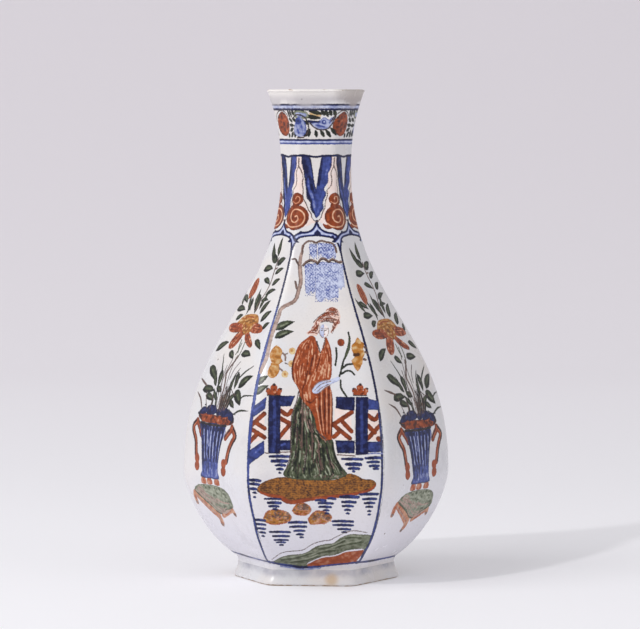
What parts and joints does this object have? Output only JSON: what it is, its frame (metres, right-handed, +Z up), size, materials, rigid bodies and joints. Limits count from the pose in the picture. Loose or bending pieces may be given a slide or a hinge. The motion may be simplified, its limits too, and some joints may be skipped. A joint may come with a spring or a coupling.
{
  "type": "bottle vase",
  "caption": "Six-sided pear-shaped bottle vase in painted tin-glazed earthenware, with a slender neck, flared mouth and low flared foot.",
  "frame": {"origin": "middle of the foot's resting face", "axes": "+Z up the axis towards the mouth; one facet faces -Y and two corners lie on X"},
  "size_m": [0.1684, 0.1522, 0.31],
  "materials": {
    "painted_glaze": "gloss white tin glaze, painted in blue, iron red, green and ochre",
    "tin_glaze": "plain gloss white tin glaze",
    "foot_glaze": "white tin glaze, worn to buff clay at the resting edge"
  },
  "bodies": {
    "root": {"foot_ring": "foot_glaze", "base_floor": "tin_glaze", "lower_belly": "painted_glaze", "upper_belly": "painted_glaze", "neck": "painted_glaze", "mouth_collar": "painted_glaze"}
  },
  "joints": []
}
